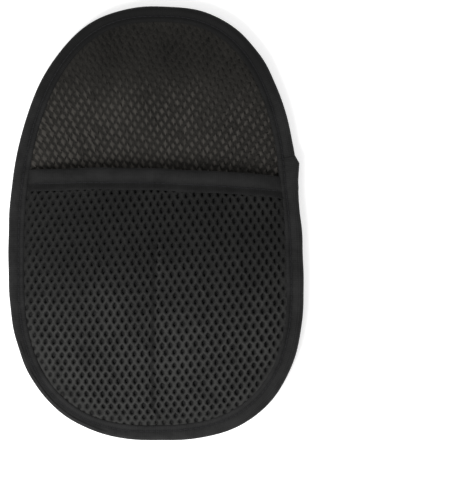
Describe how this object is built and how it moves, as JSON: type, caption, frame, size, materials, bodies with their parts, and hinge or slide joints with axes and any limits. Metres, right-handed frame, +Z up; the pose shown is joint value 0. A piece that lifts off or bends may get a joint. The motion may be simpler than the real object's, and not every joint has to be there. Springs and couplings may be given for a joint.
{
  "type": "wash mitt",
  "caption": "Flat oval wash mitt with a plush washing face, padded back, bound edge and an air-mesh hand pocket with an elasticated mouth.",
  "frame": {"origin": "centre of the outline at the level of the pile tips, with the mitt lying flat on its washing face", "axes": "+Z up, out of the hand pocket's side; +Y along the mitt towards the wrist end; +X across, to the right seen from above with the wrist end away"},
  "size_m": [0.17, 0.25, 0.0298],
  "materials": {
    "plush_pile": "matte",
    "knit_backing": "matte",
    "foam": "matte",
    "fine_mesh": "matte",
    "woven_tape": "matte",
    "folded_tape": "matte",
    "spacer_mesh": "matte",
    "elastic": "matte",
    "thread": "satin"
  },
  "bodies": {
    "mitt": {"wash_pile": "plush_pile", "pile_backing": "knit_backing", "foam_pad": "foam", "back_panel": "fine_mesh", "edge_binding": "woven_tape", "binding_needle_thread": "thread", "binding_bobbin_thread": "thread"},
    "pocket": {"pocket_panel": "spacer_mesh", "mouth_tape": "folded_tape", "mouth_elastic": "elastic", "mouth_needle_thread": "thread", "mouth_bobbin_thread": "thread"}
  },
  "joints": [
    {"name": "pocket_lift", "type": "hinge", "parent": "mitt", "child": "pocket", "pos_m": [0, -0.1136, 0.0127], "axis": [1, 0, 0], "range_deg": [0, 8.5]}
  ]
}
